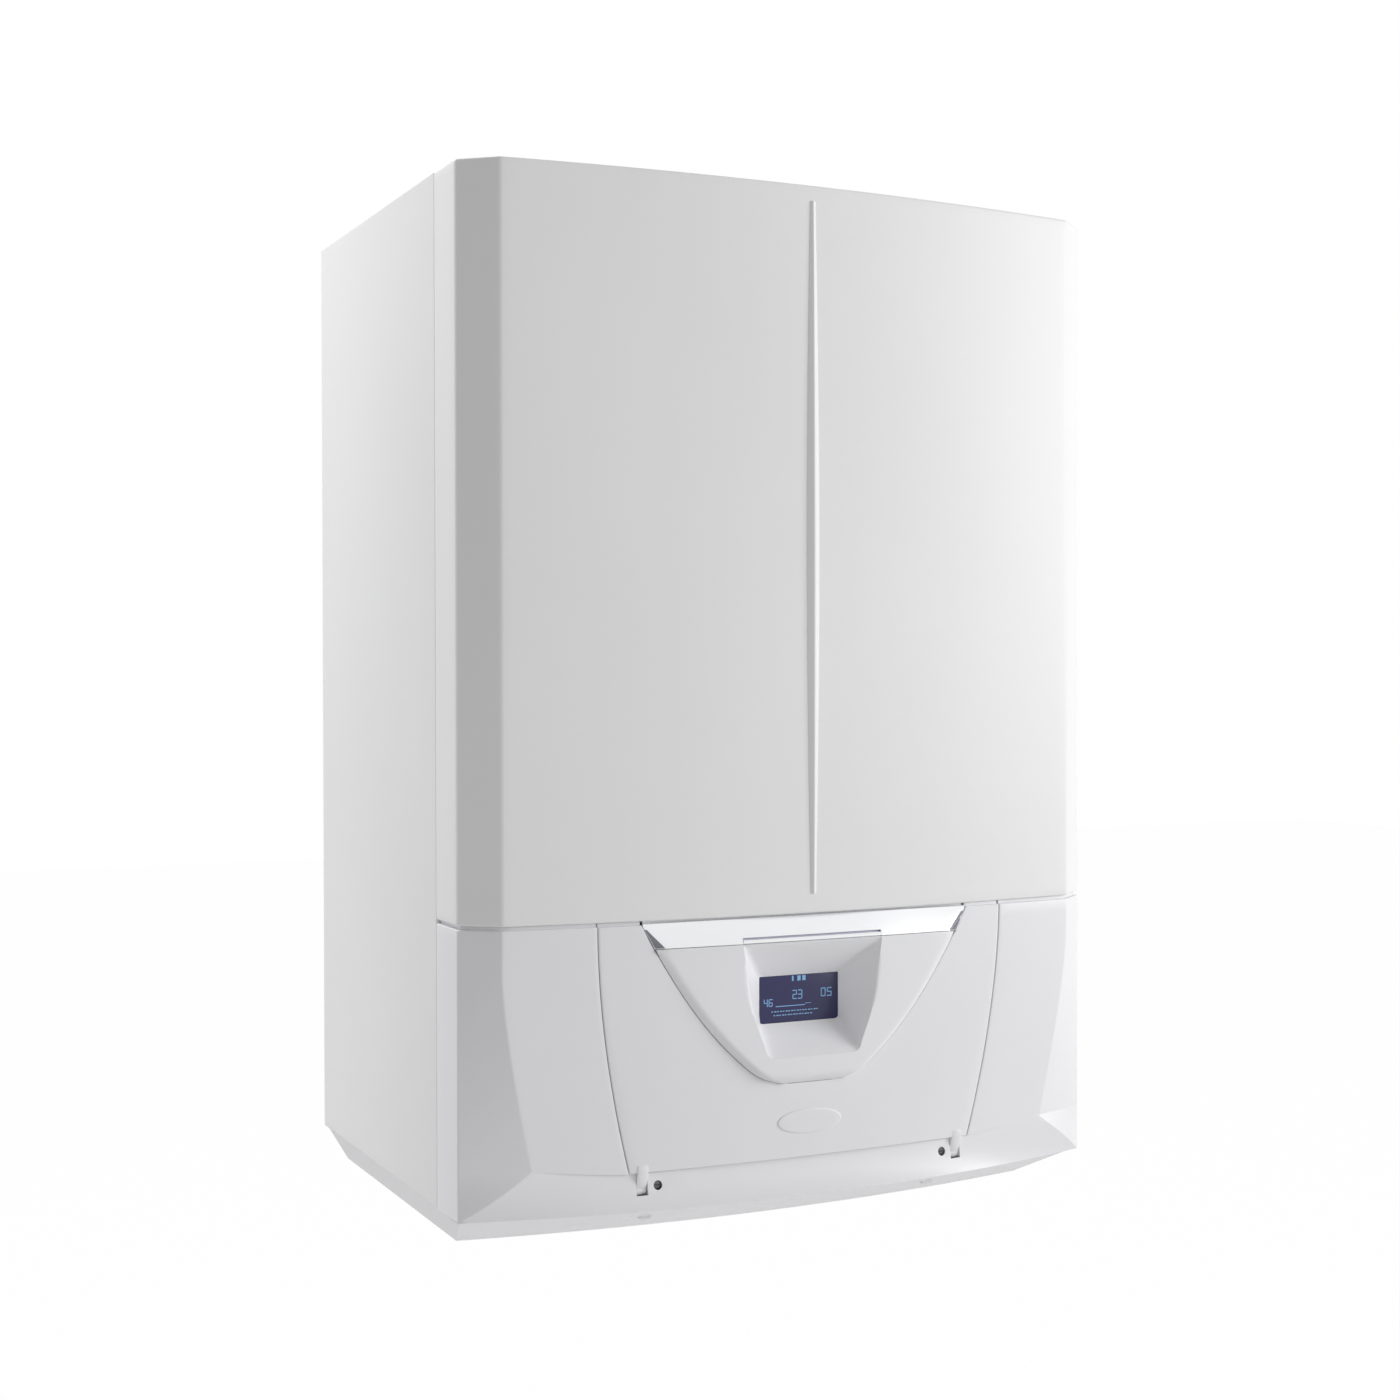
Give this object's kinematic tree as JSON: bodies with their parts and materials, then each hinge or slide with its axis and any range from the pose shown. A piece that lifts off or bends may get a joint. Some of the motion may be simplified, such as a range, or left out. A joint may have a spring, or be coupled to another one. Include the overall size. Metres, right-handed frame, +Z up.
{
  "type": "storage combi boiler",
  "caption": "Wall-hung storage combi boiler: bowed white casing, lower surround with tilting fascia, shield flap over buttons and display, tank, exchanger, fan, pump and pipes.",
  "frame": {"origin": "middle of the wall rail's back face, on the wall plane", "axes": "+X to the boiler's right as seen from the front, +Y into the wall, +Z up"},
  "size_m": [0.6, 0.4697, 0.9926],
  "materials": {
    "casing_paint": "satin white powder coat",
    "white_plastic": "satin white moulding",
    "gloss_trim": "gloss pearl white",
    "display_glass": "gloss dark blue",
    "grey_plastic": "fine textured grey",
    "dark_plastic": "fine textured black",
    "zinc_sheet": "zinc plated sheet",
    "cast_alloy": "as cast",
    "stainless": "brushed stainless",
    "copper_pipe": "drawn copper",
    "brass_fitting": "machined brass",
    "red_finish": "red enamel",
    "yellow_finish": "yellow enamel",
    "rubber": "black rubber",
    "circuit_board": "solder mask green"
  },
  "bodies": {
    "casing": {"wall_bracket": "zinc_sheet", "rear_frame": "zinc_sheet", "left_side_panel": "casing_paint", "right_side_panel": "casing_paint", "top_panel": "casing_paint", "lower_surround": "white_plastic", "bottom_cover": "white_plastic", "sill_screw_left": "zinc_sheet", "sill_screw_right": "zinc_sheet", "wall_spacer_left": "rubber", "wall_spacer_right": "rubber", "flue_flange": "dark_plastic", "flue_gasket": "rubber", "air_cap_left": "dark_plastic", "air_cap_right": "dark_plastic", "tilt_pin_left": "zinc_sheet", "tilt_pin_right": "zinc_sheet", "storage_tank": "stainless", "heat_exchanger": "stainless", "burner_door": "cast_alloy", "fan_housing": "cast_alloy", "gas_valve": "cast_alloy", "exhaust_duct": "dark_plastic", "air_silencer": "dark_plastic", "pump_body": "cast_alloy", "three_way_valve": "brass_fitting", "heating_expansion_vessel": "red_finish", "hot_water_expansion_vessel": "casing_paint", "condensate_siphon": "grey_plastic", "gas_pipe": "brass_fitting", "flow_pipe": "copper_pipe", "return_pipe": "copper_pipe", "cold_water_pipe": "copper_pipe", "hot_water_pipe": "copper_pipe"},
    "front_cover": {"upper_front_cover": "casing_paint", "front_rib": "casing_paint"},
    "fascia": {"control_fascia": "white_plastic", "badge_plate": "gloss_trim", "control_panel": "grey_plastic", "display_lens": "display_glass", "control_box": "grey_plastic", "control_board": "circuit_board", "flap_pin_left": "zinc_sheet", "flap_pin_right": "zinc_sheet"},
    "flap": {"shield_flap": "white_plastic", "flap_top_trim": "gloss_trim", "flap_grip_bar": "gloss_trim"},
    "button_left_up": {"button_left_up": "white_plastic"},
    "button_left_down": {"button_left_down": "white_plastic"},
    "button_left_mode": {"button_left_mode": "dark_plastic"},
    "button_right_up": {"button_right_up": "white_plastic"},
    "button_right_down": {"button_right_down": "white_plastic"},
    "button_right_mode": {"button_right_mode": "dark_plastic"},
    "fan_impeller": {"fan_impeller": "cast_alloy"},
    "pump_rotor": {"pump_rotor": "stainless"},
    "valve_stem": {"valve_stem": "stainless"},
    "gas_cock_lever": {"gas_cock_lever": "yellow_finish"},
    "cold_cock_lever": {"cold_cock_lever": "red_finish"},
    "safety_valve_cap": {"safety_valve_cap": "red_finish"}
  },
  "joints": [
    {"name": "front_cover_slide", "type": "slide", "parent": "casing", "child": "front_cover", "axis": [0, -1, 0], "range_m": [0, 0.25]},
    {"name": "fascia_tilt", "type": "hinge", "parent": "casing", "child": "fascia", "pos_m": [0, -0.442, -0.77], "axis": [1, 0, 0], "range_deg": [0, 45]},
    {"name": "flap_hinge", "type": "hinge", "parent": "fascia", "child": "flap", "pos_m": [0, -0.462, -0.683], "axis": [1, 0, 0], "range_deg": [0, 75]},
    {"name": "button_left_up_press", "type": "slide", "parent": "fascia", "child": "button_left_up", "axis": [0, 1, 0], "range_m": [0, 0.0015], "stiffness_N_per_m": 400},
    {"name": "button_left_down_press", "type": "slide", "parent": "fascia", "child": "button_left_down", "axis": [0, 1, 0], "range_m": [0, 0.0015], "stiffness_N_per_m": 400},
    {"name": "button_left_mode_press", "type": "slide", "parent": "fascia", "child": "button_left_mode", "axis": [0, 1, 0], "range_m": [0, 0.0015], "stiffness_N_per_m": 400},
    {"name": "button_right_up_press", "type": "slide", "parent": "fascia", "child": "button_right_up", "axis": [0, 1, 0], "range_m": [0, 0.0015], "stiffness_N_per_m": 400},
    {"name": "button_right_down_press", "type": "slide", "parent": "fascia", "child": "button_right_down", "axis": [0, 1, 0], "range_m": [0, 0.0015], "stiffness_N_per_m": 400},
    {"name": "button_right_mode_press", "type": "slide", "parent": "fascia", "child": "button_right_mode", "axis": [0, 1, 0], "range_m": [0, 0.0015], "stiffness_N_per_m": 400},
    {"name": "fan_spin", "type": "hinge", "parent": "casing", "child": "fan_impeller", "pos_m": [0.15, -0.383, -0.17], "axis": [0, 1, 0], "continuous": true},
    {"name": "pump_spin", "type": "hinge", "parent": "casing", "child": "pump_rotor", "pos_m": [0.112, -0.158, -0.5457], "axis": [0, 1, 0], "continuous": true},
    {"name": "valve_stem_travel", "type": "slide", "parent": "casing", "child": "valve_stem", "axis": [0, 1, 0], "range_m": [0, 0.008]},
    {"name": "gas_cock_turn", "type": "hinge", "parent": "casing", "child": "gas_cock_lever", "pos_m": [0.245, -0.124, -0.85], "axis": [0, 1, 0], "range_deg": [0, 90]},
    {"name": "cold_cock_turn", "type": "hinge", "parent": "casing", "child": "cold_cock_lever", "pos_m": [-0.05, -0.124, -0.85], "axis": [0, 1, 0], "range_deg": [0, 90]},
    {"name": "safety_valve_turn", "type": "hinge", "parent": "casing", "child": "safety_valve_cap", "pos_m": [0.18, -0.098, -0.505], "axis": [0, 0, 1], "range_deg": [0, 90]}
  ]
}
